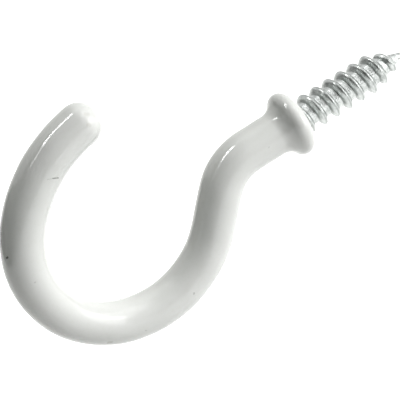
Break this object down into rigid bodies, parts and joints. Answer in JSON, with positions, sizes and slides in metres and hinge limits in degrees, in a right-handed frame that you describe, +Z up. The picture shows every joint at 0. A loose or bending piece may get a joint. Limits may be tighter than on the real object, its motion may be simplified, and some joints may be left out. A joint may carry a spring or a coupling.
{
  "type": "screw hook",
  "caption": "Cup hook of white plastic-coated steel wire: a round open bowl on a short neck, a flared shoulder and a bare zinc wood-screw thread.",
  "frame": {"origin": "centre of the seat, the flat back of the shoulder that meets the wall, on the screw's axis", "axes": "+X along the screw into the wall, +Z up with the bowl hanging below the tip and open at the top, hook in the XZ plane"},
  "size_m": [0.0529, 0.0078, 0.0298],
  "materials": {
    "zinc_steel": "bright zinc-plated steel",
    "white_coating": "glossy dip-coated white plastic"
  },
  "bodies": {
    "root": {"steel_hook": "zinc_steel", "coating": "white_coating"}
  },
  "joints": []
}
